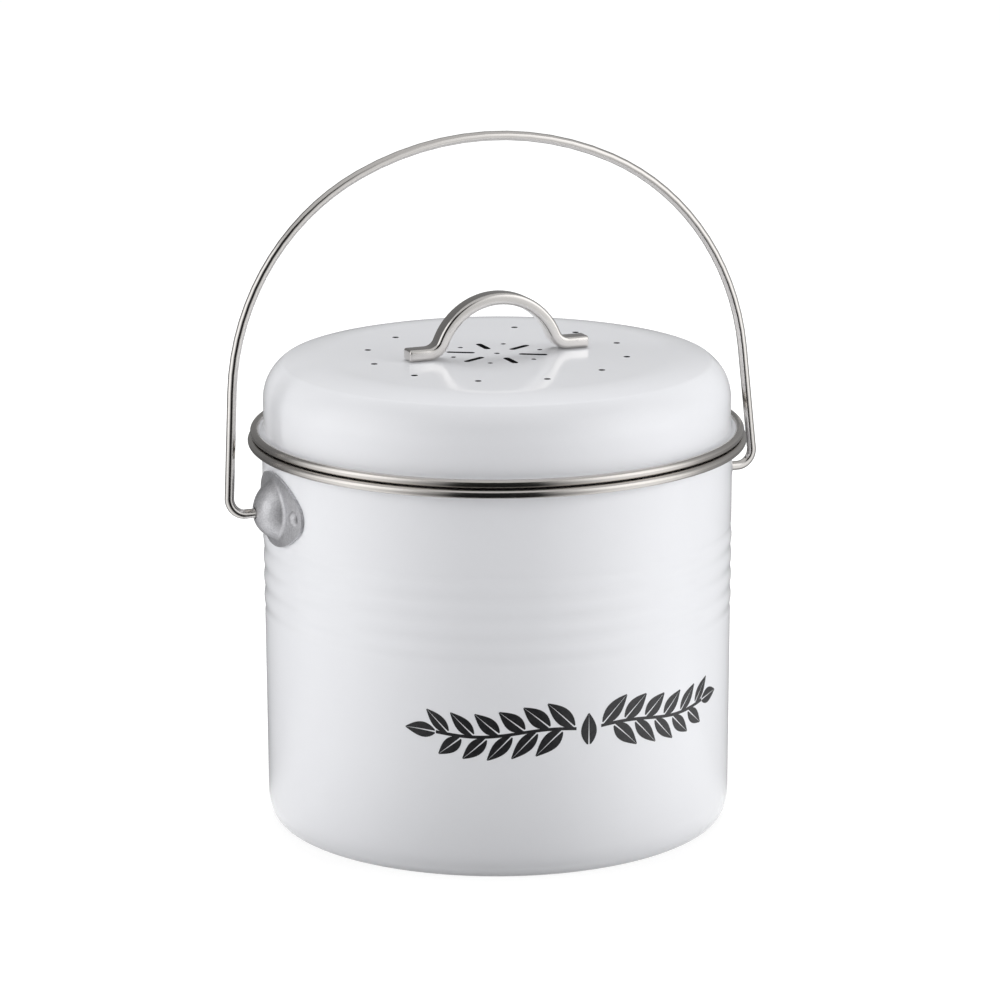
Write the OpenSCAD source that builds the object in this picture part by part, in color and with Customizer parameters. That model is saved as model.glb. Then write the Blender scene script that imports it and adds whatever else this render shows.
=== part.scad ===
/* [Bucket] */
// Outer diameter of the bucket wall at its mouth
body_d = 180.6; // [170:0.2:183]
// Radial narrowing of the wall from the mouth down to the base
body_taper = 0.6; // [0:0.1:3]
// Height of the bucket, up to the top of its rim bead
bucket_h = 150.25; // [140:0.05:180]
// Thickness of the steel sheet of the bucket
wall_t = 0.8; // [0.6:0.1:1]
// Width of the rounded corner between base and wall
base_corner_w = 4; // [3:0.5:8]
// Height of the rounded corner between base and wall
base_corner_h = 10; // [6:0.5:14]
// Width of the ring on the base that the bucket stands on
foot_ring_w = 8; // [5:0.5:14]
// Height of the base panel above the standing ring
base_recess = 1.6; // [0.8:0.1:4]
// Number of shallow ridges that are rolled around the wall
rib_count = 4; // [2:1:6]
// Distance from one ridge to the next
rib_pitch = 7.9; // [6:0.1:10]
// Height of the ridges over the grooves between them
rib_h = 0.38; // [0.1:0.02:0.6]
// Distance from the lower edge of the ears down to the first ridge
rib_drop = 2.7; // [2.6:0.1:12]

/* [Rim] */
// Thickness of the round steel beads
bead_d = 3.3; // [3:0.1:3.6]
// Thickness of the steel strip that the beads are rolled from
bead_t = 0.7; // [0.5:0.1:0.8]
// Radius of the flare from the bucket wall out to its bead
bucket_flare_r = 2; // [1.4:0.1:3]
// Radius of the flare from the lid wall out to its bead
lid_flare_r = 1.7; // [1.4:0.1:3]
// Width of the flat sheet between a flare and its bead
rim_flat = 0.1; // [0.1:0.05:1]

/* [Lid] */
// Height of the lid, from under its bead to the middle of the top
lid_h = 30.45; // [28:0.05:36]
// Thickness of the steel sheet of the lid
lid_t = 0.8; // [0.6:0.1:1]
// Radius of the large shoulder of the lid
lid_shoulder_r = 17; // [12:0.5:18]
// Angle over which the large shoulder turns in
lid_shoulder_angle = 53.5; // [45:0.5:60]
// Radius of the tighter edge between the shoulder and the top
lid_edge_r = 4; // [3:0.5:8]
// Width of the border around the flat middle of the top, over which the lid falls off to its wall
lid_fall_w = 24.6; // [22:0.1:30]
// Radius of the gentle fall next to the flat middle
lid_fall_r = 65.3; // [55:0.1:90]
// Radial play of the lid skirt in the mouth of the bucket
skirt_play = 0.75; // [0.5:0.05:1.5]
// Thickness of the skirt sheet
skirt_t = 0.8; // [0.6:0.1:1]
// Depth of the skirt below the lid bead
skirt_drop = 9.5; // [6:0.5:14]
// Height of the skirt inside the lid wall
skirt_rise = 9.5; // [8:0.5:10]

/* [Vents] */
// Diameter of the vent hole in the middle
vent_mid_d = 2.2; // [1.5:0.1:4]
// Number of petal slots, and of the small holes between them
petal_count = 6; // [4:1:8]
// Width of a petal slot
petal_w = 2.6; // [2:0.1:3]
// Distance from the middle to the inner end of a petal slot
petal_in_r = 8.5; // [7:0.5:10]
// Distance from the middle to the outer end of a petal slot
petal_out_r = 19.5; // [17:0.5:21]
// Diameter of the small holes between the petals
petal_hole_d = 2; // [1.5:0.1:2.6]
// Distance from the middle to the small holes between the petals
petal_hole_r = 17.8; // [15:0.2:20]
// Number of holes in the outer ring of vents
vent_ring_count = 12; // [6:2:16]
// Diameter of the holes in the outer ring of vents
vent_ring_d = 2.6; // [2:0.1:3.4]
// Radius of the outer ring of vents
vent_ring_r = 50; // [46:1:54]

/* [Lid handle] */
// Height of the handle above the middle of the lid
handle_h = 24; // [22:0.5:30]
// Length of the handle over its two feet
handle_len = 73.4; // [70:0.2:80]
// Width of the flat bar
bar_w = 7.6; // [6:0.1:9]
// Thickness of the flat bar
bar_h = 4.6; // [4.4:0.1:5.6]
// Radius of the bar's rounded edges
bar_edge_r = 1.3; // [0.6:0.1:2]
// Radius of the arch, to the middle of the bar
handle_arch_r = 24.7; // [22:0.1:26]
// Radius of the bends into the feet, to the middle of the bar
handle_bend_r = 6.5; // [5:0.1:8]
// Thread diameter of the handle screws
screw_d = 3.9; // [3:0.1:4]
// Depth that a screw reaches into a foot
screw_reach = 3.6; // [2.5:0.1:4]
// Head diameter of the handle screws
screw_head_d = 7.5; // [6.5:0.1:8]
// Head height of the handle screws
screw_head_h = 2.2; // [1.8:0.1:2.6]
// Outer diameter of the washers under the screw heads
washer_d = 9; // [8.4:0.1:10]
// Thickness of the washers under the screw heads
washer_t = 0.8; // [0.6:0.1:1]

/* [Filter] */
// Distance from the edge of the lid's top in to the pads of the filter hooks
hook_inset = 5.9; // [2:0.1:12]
// Thickness of the charcoal filter pad
filter_h = 10; // [8:0.5:11]
// Wall and floor thickness of the filter holder
holder_t = 2; // [1.6:0.1:2.4]
// Height of the finger bar below the holder floor
finger_bar_h = 7; // [4:0.5:9]
// Length of the finger bar
finger_bar_len = 40; // [30:1:50]
// Width of the ribs and rings of the holder floor
holder_rib_w = 3; // [2:0.5:5]
// Number of radial ribs in the holder floor
holder_rib_count = 12; // [8:2:16]
// Radial length of the twist lugs
lug_w = 5; // [4:0.2:6]
// Thickness of the twist lugs
lug_t = 2; // [1.5:0.1:2.5]
// Angle that one twist lug spans
lug_angle = 20; // [14:1:24]
// Sheet thickness of the hooks that carry the holder
clip_t = 1; // [0.8:0.1:1.2]

/* [Ears] */
// Distance from the top of the bucket down to the bail's pivot
pivot_drop = 22.65; // [21:0.05:34]
// Length of an ear plate, measured straight across the wall
ear_len = 47; // [45:0.5:54]
// Height of an ear plate
ear_h = 28; // [27:0.5:32]
// Radius of the rounded ends of an ear plate
ear_end_r = 8; // [6:0.5:10]
// Thickness of the ear sheet
ear_t = 1; // [0.8:0.1:1.2]
// Distance from the bail's pivot up to the middle of an ear plate
ear_lift = 0.9; // [0:0.1:1.5]
// Outer radius of the ball-shaped boss that holds the bail in an ear
boss_r = 11.8; // [11:0.1:12.6]
// Distance that the boss stands out from the bucket wall
boss_rise = 8.5; // [8.2:0.1:9.6]
// Distance between the two rivets of an ear, straight across
rivet_pitch = 35.5; // [34:0.5:38]
// Shank diameter of the rivets
rivet_d = 3; // [2.5:0.1:3.5]
// Head diameter of the rivets
rivet_head_d = 6; // [5:0.1:6.4]
// Height of the domed rivet heads
rivet_head_h = 1.6; // [1:0.1:2]

/* [Bail] */
// Thickness of the bail wire
bail_d = 3.6; // [3:0.1:4]
// Distance from the pivot to the middle of the wire at the top
bail_reach = 136.05; // [132:0.05:150]
// Gap between the rim bead and the bail's leg, level with the pivot
bail_side_gap = 11.3; // [9:0.1:13]
// Angle by which the legs lean in towards the top
bail_leg_angle = 4.1; // [2:0.1:5]
// Radius of the bends between the legs and the top bow
bail_shoulder_r = 93.4; // [88:0.2:96]
// Half of the angle that the top bow spans
bail_bow_angle = 25; // [20:0.5:30]
// Radius of the bends into the ears
bail_foot_r = 6.2; // [5.4:0.1:6.6]
// Angle by which the bail leans back as it stands
bail_lean = 4.65; // [0:0.05:10]
// Radius of the upset heads on the wire ends
bail_head_r = 3.2; // [2.8:0.1:4]
// Thickness of the upset heads on the wire ends
bail_head_t = 1.6; // [1:0.1:2]

/* [Clearances] */
// Gap between sheets or shanks that are fitted tight together
fit_gap = 0.05; // [0.02:0.01:0.1]
// Gap at rest between the lid bead and the bucket bead
seat_gap = 0.3; // [0.1:0.05:0.5]
// Gap between pieces that slide or turn past each other
run_gap = 0.3; // [0.2:0.05:0.4]
// Radial gap of the bail wire in the hole of an ear
bail_hole_gap = 0.4; // [0.1:0.05:0.5]

/* [Hidden] */
$fn = 96;
white = "#f1f1f2";
bare_steel = "#b9b6b2";
zinc_steel = "#a2a3a7";
dark_plastic = "#3a3c3e";
charcoal = "#202122";
arc_steps = 8;
rib_steps = 8;
fall_steps = 5;
eps = 0.01;
// Bends are a hair thicker than the straight bar and run a little way into it
hair = 0.01;
lap = 0.1;
sides = [-1, 1];

// Bucket
body_r = body_d / 2;
base_r = body_r - body_taper;
mouth_r = body_r - wall_t;
foot_out_r = base_r - base_corner_w;
foot_in_r = foot_out_r - foot_ring_w;
recess_r = foot_in_r - 2 * base_recess;
bead_r = bead_d / 2;
rim_r = body_r + bucket_flare_r + rim_flat + bead_d;
bucket_bead_r = rim_r - bead_r;
bucket_bead_z = bucket_h - bead_r;
wall_top_z = bucket_bead_z - wall_t / 2 - bucket_flare_r;
pivot_z = bucket_h - pivot_drop;
rib_top_z = pivot_z - ear_h / 2 - rib_drop;

// Lid
lid_seat_z = bucket_h + seat_gap;
lid_top_z = lid_seat_z + lid_h;
lid_bead_z = lid_seat_z + bead_r;
skirt_r = mouth_r - skirt_play;
lid_r = skirt_r + fit_gap + lid_t;
lid_bead_r = lid_r + lid_flare_r + rim_flat + bead_r;
shoulder_mid_r = lid_r - lid_shoulder_r;
edge_mid_r = shoulder_mid_r + (lid_shoulder_r - lid_edge_r) * cos(lid_shoulder_angle);
edge_rise = (lid_shoulder_r - lid_edge_r) * sin(lid_shoulder_angle);
flat_r = lid_r - lid_fall_w;
fall_angle = asin((edge_mid_r - flat_r) / (lid_fall_r - lid_edge_r));
fall_mid_z = lid_top_z - lid_fall_r;
fall_out_r = flat_r + lid_fall_r * sin(fall_angle);
edge_mid_z = fall_mid_z + (lid_fall_r - lid_edge_r) * cos(fall_angle);
shoulder_z = edge_mid_z - edge_rise;

// Height of the underside of the lid's top at a distance r from the axis
function under_z(r) = fall_mid_z + sqrt(pow(lid_fall_r - lid_t, 2) - pow(max(r - flat_r, 0), 2));

// Lid handle
foot_z = lid_top_z;
foot_mid_z = foot_z + bar_h / 2;
arch_mid_z = lid_top_z + handle_h - bar_h / 2 - handle_arch_r;
bend_mid_z = foot_mid_z + handle_bend_r;
bend_mid_x = sqrt(pow(handle_arch_r + handle_bend_r, 2) - pow(bend_mid_z - arch_mid_z, 2));
arch_start = atan2(bend_mid_z - arch_mid_z, bend_mid_x);
screw_x = (bend_mid_x + handle_len / 2) / 2;
washer_z = under_z(screw_x + washer_d / 2) - fit_gap - washer_t;

// Filter
clip_pad_r = fall_out_r - hook_inset;
clip_r = clip_pad_r - lug_w - clip_t;
lug_out_r = clip_r - run_gap;
holder_out_r = lug_out_r - lug_w;
holder_in_r = holder_out_r - holder_t;
filter_r = holder_in_r - run_gap;
holder_top_z = under_z(holder_out_r) - run_gap;
pad_top_z = washer_z - screw_head_h - run_gap;
floor_top_z = pad_top_z - filter_h;
floor_z = floor_top_z - holder_t;
lug_z = pad_top_z - 2 * lug_t;
ledge_z = lug_z - run_gap - clip_t;
ledge_in_r = holder_out_r + run_gap;
hook_turns = [90, 210, 330];
stop_angle = 1.6;
stop_play = 0.4;
ledge_angle = lug_angle + 2 * (stop_angle + stop_play);
holder_hub_r = finger_bar_len / 4;

// Ears
ear_mid_z = pivot_z + ear_lift;
boss_mid_r = body_r + boss_rise - boss_r;
rivet_angle = asin(rivet_pitch / 2 / body_r);
ear_out_r = body_r + ear_t;
bail_hole_r = bail_d / 2 + bail_hole_gap;
oval_rise = ear_h / 2;
oval_half = ear_len / 2;
oval_side_r = (pow(oval_half - ear_end_r, 2) + pow(oval_rise, 2) - pow(ear_end_r, 2))
    / (2 * (oval_rise - ear_end_r));
oval_split = (oval_half - ear_end_r) * oval_side_r / (oval_side_r - ear_end_r);

// Bail
wire_r = bail_d / 2;
bail_half_w = rim_r + bail_side_gap + wire_r;
bow_share = tan(bail_bow_angle / 2);
leg_in = sin(bail_leg_angle);
leg_up = cos(bail_leg_angle);
shoulder_in = bail_shoulder_r * (leg_up - sin(bail_bow_angle));
shoulder_up = bail_shoulder_r * (cos(bail_bow_angle) - leg_in);
leg_len = (bail_reach - shoulder_up - (bail_half_w - shoulder_in) * bow_share)
    / (leg_up - leg_in * bow_share);
bow_r = (bail_half_w - leg_len * leg_in - shoulder_in) / sin(bail_bow_angle);
leg_top = [bail_half_w - leg_len * leg_in, leg_len * leg_up];
bail_shoulder_mid = leg_top - bail_shoulder_r * [leg_up, leg_in];
bail_foot_x = bail_half_w - bail_foot_r * tan(bail_leg_angle) - bail_foot_r / leg_up;
leg_foot = [bail_foot_x, bail_foot_r] + bail_foot_r * [leg_up, leg_in];
bail_head_out = boss_mid_r + boss_r - ear_t - run_gap - pow(bail_head_r, 2) / boss_r;

// Points of an arc around mid, from angle a to angle b
function arc(mid, r, a, b, steps = arc_steps) = [
    for (i = [0:steps])
        let (t = a + (b - a) * i / steps)
        mid + r * [cos(t), sin(t)]
];

// Points of a quarter ellipse that rises from the base to the wall
function corner(mid, w, h) = [
    for (i = [0:arc_steps])
        let (t = -90 + 90 * i / arc_steps)
        mid + [w * cos(t), h * sin(t)]
];

// Points of the ridged stretch of the wall, a wave that starts and ends level with the wall
function ribs(inset) = [
    for (i = [-rib_steps / 4:rib_count * rib_steps + rib_steps / 4])
        let (z = rib_top_z - (rib_count - 0.5 - i / rib_steps) * rib_pitch)
        let (wall_r = base_r + body_taper * (z - base_corner_h) / (wall_top_z - base_corner_h))
        [wall_r - rib_h / 2 * cos(360 * i / rib_steps) - inset, z]
];

// The points of a list in reverse order
function reversed(list) = [for (i = [len(list) - 1:-1:0]) list[i]];

// A sweep of the children along an arc of radius r in the XZ plane
module bend(r, a, b) {
    rotate([90, 0, 0])
        rotate([0, 0, a])
            rotate_extrude(angle = b - a)
                translate([r, 0])
                    children();
}

// A ring sector around the Z axis, from angle a to angle b
module sector(r_in, r_out, z, h, a, b) {
    rotate([0, 0, a])
        rotate_extrude(angle = b - a)
            translate([r_in, z])
                square([r_out - r_in, h]);
}

// Places the children at each rivet, with Z pointing out of the wall
module at_rivets(side) {
    for (turn = [-rivet_angle, rivet_angle])
        rotate([0, 0, turn + (side > 0 ? 0 : 180)])
            translate([0, 0, ear_mid_z])
                rotate([0, 90, 0])
                    children();
}

// Drawn bucket with its recessed base and the flared mouth
module bucket_shell() {
    corner_mid = [foot_out_r, base_corner_h];
    flare_mid = [body_r + bucket_flare_r, wall_top_z];
    outer = concat(
        [[0, base_recess], [recess_r, base_recess], [foot_in_r, 0]],
        corner(corner_mid, base_corner_w, base_corner_h),
        ribs(0),
        arc(flare_mid, bucket_flare_r, 180, 90),
        [[bucket_bead_r, bucket_bead_z - wall_t / 2]]
    );
    inner = concat(
        [[0, base_recess + wall_t], [recess_r, base_recess + wall_t], [foot_in_r, wall_t]],
        corner(corner_mid, base_corner_w - wall_t, base_corner_h - wall_t),
        ribs(wall_t),
        arc(flare_mid, bucket_flare_r + wall_t, 180, 90),
        [[bucket_bead_r, bucket_bead_z + wall_t / 2]]
    );
    color(white)
        difference() {
            rotate_extrude()
                polygon(concat(outer, reversed(inner)));
            for (side = sides)
                at_rivets(side)
                    translate([0, 0, body_r / 2])
                        cylinder(r = rivet_d / 2 + fit_gap, h = body_r);
        }
}

// Rolled strip of bare steel around a sheet edge, open towards the axis
module rim_bead(mid_r, z, sheet_t) {
    color(bare_steel)
        rotate_extrude()
            translate([mid_r, z])
                difference() {
                    circle(r = bead_r);
                    circle(r = bead_r - bead_t);
                    translate([-bead_d, -sheet_t / 2 - fit_gap])
                        square([bead_d, sheet_t + 2 * fit_gap]);
                }
}

module bucket_rim_ring() {
    rim_bead(bucket_bead_r, bucket_bead_z, wall_t);
}

// Oval of four arcs that an ear plate is cut to, in the plane of the sheet
module ear_oval() {
    intersection() {
        translate([0, oval_rise - oval_side_r])
            circle(r = oval_side_r);
        translate([0, oval_side_r - oval_rise])
            circle(r = oval_side_r);
        square([2 * oval_split, ear_h], center = true);
    }
    for (side = sides)
        translate([side * (oval_half - ear_end_r), 0])
            circle(r = ear_end_r);
}

// Pressed ear with a hollow boss, curved to lie on the bucket wall
module ear(side) {
    ear_depth = boss_mid_r + boss_r;
    color(zinc_steel)
        difference() {
            union() {
                intersection() {
                    rotate([0, 0, side > 0 ? 0 : 180])
                        translate([0, 0, ear_mid_z])
                            rotate([90, 0, 90])
                                linear_extrude(ear_depth)
                                    ear_oval();
                    cylinder(r = ear_out_r, h = bucket_h);
                }
                translate([side * boss_mid_r, 0, pivot_z])
                    sphere(r = boss_r);
            }
            translate([side * boss_mid_r, 0, pivot_z])
                sphere(r = boss_r - ear_t);
            cylinder(r = body_r, h = bucket_h);
            translate([0, 0, pivot_z])
                rotate([0, side * 90, 0])
                    cylinder(r = bail_hole_r, h = ear_depth + eps);
            at_rivets(side)
                cylinder(r = rivet_d / 2 + fit_gap, h = ear_depth);
        }
}

module ear_left() {
    ear(-1);
}

module ear_right() {
    ear(1);
}

// Rivets with a domed head outside and a flat upset head inside the bucket
module ear_rivets() {
    head_r = rivet_head_d / 2;
    dome_r = (pow(head_r, 2) + pow(rivet_head_h, 2)) / (2 * rivet_head_h);
    upset_top = sqrt(pow(mouth_r - body_taper, 2) - pow(head_r, 2)) - fit_gap;
    color(zinc_steel)
        for (side = sides)
            at_rivets(side) {
                translate([0, 0, upset_top - eps])
                    cylinder(r = rivet_d / 2, h = ear_out_r - upset_top + 2 * eps);
                translate([0, 0, upset_top - rivet_head_h / 2])
                    cylinder(r = head_r, h = rivet_head_h / 2);
                intersection() {
                    translate([0, 0, ear_out_r + rivet_head_h - dome_r])
                        sphere(r = dome_r);
                    translate([0, 0, ear_out_r])
                        cylinder(r = rivet_head_d, h = rivet_head_d);
                }
            }
}

// One half of the bail, in its own plane with the pivot at the origin
module bail_half() {
    rotate([0, 90, 0])
        translate([0, 0, bail_head_out - eps])
            cylinder(r = wire_r, h = bail_foot_x - bail_head_out + eps + lap);
    rotate([0, 90, 0])
        translate([0, 0, bail_head_out - bail_head_t])
            cylinder(r = bail_head_r, h = bail_head_t);
    translate([bail_foot_x, 0, bail_foot_r])
        bend(bail_foot_r, -90, bail_leg_angle)
            circle(r = wire_r + hair);
    translate([leg_foot[0], 0, leg_foot[1]])
        rotate([0, -bail_leg_angle, 0])
            translate([0, 0, -lap])
                cylinder(r = wire_r, h = norm(leg_top - leg_foot) + 2 * lap);
    translate([bail_shoulder_mid[0], 0, bail_shoulder_mid[1]])
        bend(bail_shoulder_r, bail_leg_angle, 90 - bail_bow_angle + lap)
            circle(r = wire_r + hair);
}

// Bail of round wire that turns in the two ears
module bail_wire() {
    color(bare_steel)
        translate([0, 0, pivot_z])
            rotate([-bail_lean, 0, 0]) {
                bail_half();
                mirror([1, 0, 0])
                    bail_half();
                translate([0, 0, bail_reach - bow_r])
                    bend(bow_r, 90 - bail_bow_angle, 90 + bail_bow_angle)
                        circle(r = wire_r + 2 * hair);
            }
}

// Outline of one face of the lid sheet, from the flange edge up to the axis
function lid_face(inset) = concat(
    [[lid_bead_r, lid_bead_z + lid_t / 2 - inset]],
    arc([lid_r + lid_flare_r, lid_bead_z + lid_t / 2 + lid_flare_r], lid_flare_r + inset, 270, 180),
    arc([shoulder_mid_r, shoulder_z], lid_shoulder_r - inset, 0, lid_shoulder_angle),
    arc([edge_mid_r, edge_mid_z], lid_edge_r - inset, lid_shoulder_angle, 90 - fall_angle),
    arc([flat_r, fall_mid_z], lid_fall_r - inset, 90 - fall_angle, 90, fall_steps),
    [[0, lid_top_z - inset]]
);

// One petal slot, with round ends, along the X axis
module petal() {
    petal_r = petal_w / 2;
    for (x = [petal_in_r + petal_r, petal_out_r - petal_r])
        translate([x, 0])
            circle(r = petal_r);
    translate([petal_in_r + petal_r, -petal_r])
        square([petal_out_r - petal_in_r - petal_w, petal_w]);
}

// All the holes of the lid, seen from above: the vents and the two screw holes
module lid_holes() {
    circle(r = vent_mid_d / 2);
    for (i = [0:petal_count - 1])
        rotate(i * 360 / petal_count) {
            rotate(180 / petal_count)
                petal();
            translate([petal_hole_r, 0])
                circle(r = petal_hole_d / 2);
        }
    for (i = [0:vent_ring_count - 1])
        rotate(i * 360 / vent_ring_count)
            translate([vent_ring_r, 0])
                circle(r = vent_ring_d / 2);
    for (side = sides)
        translate([side * screw_x, 0])
            circle(r = screw_d / 2 + run_gap);
}

// Drawn lid with its flat, vented middle and the border that falls off around it
module lid_shell() {
    color(white)
        difference() {
            rotate_extrude()
                polygon(concat(lid_face(0), reversed(lid_face(lid_t))));
            translate([0, 0, shoulder_z])
                linear_extrude(lid_h)
                    lid_holes();
        }
}

module lid_rim_ring() {
    rim_bead(lid_bead_r, lid_bead_z, lid_t);
}

// Skirt welded inside the lid wall, which centres the lid in the mouth
module lid_skirt() {
    low_z = lid_seat_z - skirt_drop;
    top_z = lid_seat_z + skirt_rise;
    lead_in = 2 * skirt_t;
    color(bare_steel)
        rotate_extrude()
            polygon([
                [skirt_r, top_z],
                [skirt_r, low_z + lead_in],
                [skirt_r - skirt_t, low_z],
                [skirt_r - 2 * skirt_t, low_z],
                [skirt_r - skirt_t, low_z + lead_in],
                [skirt_r - skirt_t, top_z]
            ]);
}

// Cross-section of the flat handle bar with its rounded edges, thickness along X
module bar_section(swell = 0) {
    edge_r = bar_edge_r + swell;
    flat_h = bar_h - 2 * bar_edge_r;
    flat_w = bar_w - 2 * bar_edge_r;
    square([flat_h + 2 * edge_r, flat_w], center = true);
    square([flat_h, flat_w + 2 * edge_r], center = true);
    for (x = sides, y = sides)
        translate([x * flat_h / 2, y * flat_w / 2])
            circle(r = edge_r);
}

// Arched handle bar with two feet that lie on the lid
module lid_handle() {
    color(bare_steel)
        difference() {
            union() {
                translate([0, 0, arch_mid_z])
                    bend(handle_arch_r, arch_start, 180 - arch_start)
                        bar_section(2 * hair);
                for (side = [0, 1])
                    mirror([side, 0, 0]) {
                        translate([bend_mid_x, 0, bend_mid_z])
                            bend(handle_bend_r, 180 + arch_start - lap, 270)
                                bar_section(hair);
                        translate([bend_mid_x - lap, 0, foot_mid_z])
                            rotate([0, 90, 0])
                                linear_extrude(handle_len / 2 - bend_mid_x + lap)
                                    bar_section();
                    }
            }
            for (side = sides)
                translate([side * screw_x, 0, foot_z - eps])
                    cylinder(r = screw_d / 2 + fit_gap, h = screw_reach + run_gap);
        }
}

// Pan-head screws that hold the handle from under the lid
module handle_screws() {
    recess_len = 0.6 * screw_head_d;
    recess_w = screw_head_d / 8;
    color(bare_steel)
        for (side = sides)
            translate([side * screw_x, 0, washer_z])
                difference() {
                    union() {
                        translate([0, 0, -eps])
                            cylinder(r = screw_d / 2, h = foot_z - washer_z + screw_reach + eps);
                        translate([0, 0, -screw_head_h])
                            cylinder(r = screw_head_d / 2, h = screw_head_h);
                    }
                    for (turn = [0, 90])
                        rotate([0, 0, turn])
                            translate([0, 0, -screw_head_h])
                                cube([recess_len, recess_w, screw_head_h], center = true);
                }
}

module handle_washers() {
    color(bare_steel)
        for (side = sides)
            translate([side * screw_x, 0, washer_z])
                difference() {
                    cylinder(r = washer_d / 2, h = washer_t);
                    translate([0, 0, -eps])
                        cylinder(r = screw_d / 2 + fit_gap, h = washer_t + 2 * eps);
                }
}

// Three bent hooks welded under the lid, each with a ledge and a stop
module filter_clips() {
    color(bare_steel)
        for (turn = hook_turns)
            rotate([0, 0, turn]) {
                rotate([0, 0, -ledge_angle / 2])
                    rotate_extrude(angle = ledge_angle)
                        polygon([
                            [ledge_in_r, ledge_z],
                            [clip_r + clip_t, ledge_z],
                            [clip_r + clip_t, under_z(clip_r + clip_t) - clip_t - fit_gap],
                            [clip_pad_r, under_z(clip_pad_r) - clip_t - fit_gap],
                            [clip_pad_r, under_z(clip_pad_r) - fit_gap],
                            [clip_r, under_z(clip_r) - fit_gap],
                            [clip_r, ledge_z + clip_t],
                            [ledge_in_r, ledge_z + clip_t]
                        ]);
                sector(ledge_in_r, clip_r + eps, ledge_z + clip_t - eps, lug_t + run_gap,
                    ledge_angle / 2 - stop_angle, ledge_angle / 2);
            }
}

// Round tray with an open floor, twist lugs and a finger bar
module filter_holder() {
    color(dark_plastic) {
        difference() {
            union() {
                difference() {
                    translate([0, 0, floor_z])
                        cylinder(r = holder_out_r, h = holder_top_z - floor_z);
                    translate([0, 0, floor_top_z])
                        cylinder(r = holder_in_r, h = holder_top_z - floor_z);
                }
                for (turn = hook_turns)
                    rotate([0, 0, turn])
                        sector(holder_out_r - holder_t / 2, lug_out_r, lug_z, lug_t,
                            -lug_angle / 2, lug_angle / 2);
            }
            holder_windows();
        }
        translate([-finger_bar_len / 2, -holder_t, floor_z - finger_bar_h])
            cube([finger_bar_len, 2 * holder_t, finger_bar_h + eps]);
    }
}

// Two rings of windows between the radial ribs of the holder floor
module holder_windows() {
    ring_mid_r = (holder_hub_r + holder_in_r) / 2;
    window_angle = 360 / holder_rib_count;
    for (ring = [
        [holder_hub_r, ring_mid_r - holder_rib_w / 2],
        [ring_mid_r + holder_rib_w / 2, holder_in_r - holder_rib_w]
    ])
        for (i = [0:holder_rib_count - 1])
            let (rib_turn = asin(holder_rib_w / 2 / ring[0]))
                sector(ring[0], ring[1], floor_z - eps, holder_t + 2 * eps,
                    i * window_angle + rib_turn, (i + 1) * window_angle - rib_turn);
}

// Pad of charcoal foam that lies on the holder floor
module charcoal_filter() {
    color(charcoal)
        translate([0, 0, floor_top_z + fit_gap])
            cylinder(r = filter_r, h = filter_h - fit_gap);
}

bucket_shell();
bucket_rim_ring();
ear_left();
ear_right();
ear_rivets();
bail_wire();
lid_shell();
lid_rim_ring();
lid_skirt();
lid_handle();
handle_screws();
handle_washers();
filter_clips();
filter_holder();
charcoal_filter();
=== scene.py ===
import math

import bmesh
import bpy
from mathutils import Matrix, Vector, noise


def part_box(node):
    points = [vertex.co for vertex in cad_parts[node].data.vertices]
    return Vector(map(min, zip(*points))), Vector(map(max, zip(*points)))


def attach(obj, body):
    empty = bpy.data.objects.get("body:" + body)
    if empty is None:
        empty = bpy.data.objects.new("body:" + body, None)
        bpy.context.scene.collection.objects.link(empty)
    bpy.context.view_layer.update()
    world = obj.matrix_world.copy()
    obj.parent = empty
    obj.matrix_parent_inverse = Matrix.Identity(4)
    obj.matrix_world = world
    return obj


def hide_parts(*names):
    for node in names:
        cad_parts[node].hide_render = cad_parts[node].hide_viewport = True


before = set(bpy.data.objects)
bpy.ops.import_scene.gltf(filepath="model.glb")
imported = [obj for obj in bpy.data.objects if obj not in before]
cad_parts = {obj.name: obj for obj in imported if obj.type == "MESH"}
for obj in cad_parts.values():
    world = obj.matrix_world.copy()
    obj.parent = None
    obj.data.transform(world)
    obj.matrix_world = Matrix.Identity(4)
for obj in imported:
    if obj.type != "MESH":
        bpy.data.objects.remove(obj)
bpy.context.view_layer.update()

# Camera: a long lens a metre and a half in front of the caddy, turned 22 degrees towards
# the left ear and looking 14 degrees down on it.
camera = bpy.data.objects.new("camera", bpy.data.cameras.new("camera"))
bpy.context.scene.collection.objects.link(camera)
camera.location = (-0.59213, -1.46557, 0.51449)
camera.rotation_euler = (math.radians(76.0976), math.radians(0.1735), math.radians(-22.0429))
camera.data.sensor_width = 36
camera.data.lens = 152.059
camera.data.shift_x = 0.002686
camera.data.clip_start = 0.05
bpy.context.scene.camera = camera


# Pail: one drawn sheet of steel under a hard white gloss coat, which has a faint ripple close
# up. The base stands on a ring around a panel that is pressed in, the wall carries four
# shallow rolled ridges, and the mouth is flared out to its bead.
def shader_of(name, colour, roughness, metallic=0.0):
    """Starts a finish and returns it with its surface and its texture coordinates."""
    finish = bpy.data.materials.new(name)
    finish.use_nodes = True
    nodes = finish.node_tree.nodes
    surface = nodes["Principled BSDF"]
    surface.inputs["Base Color"].default_value = (*colour, 1)
    surface.inputs["Roughness"].default_value = roughness
    surface.inputs["Metallic"].default_value = metallic
    place = nodes.new("ShaderNodeTexCoord")
    return finish, surface, place


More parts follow.
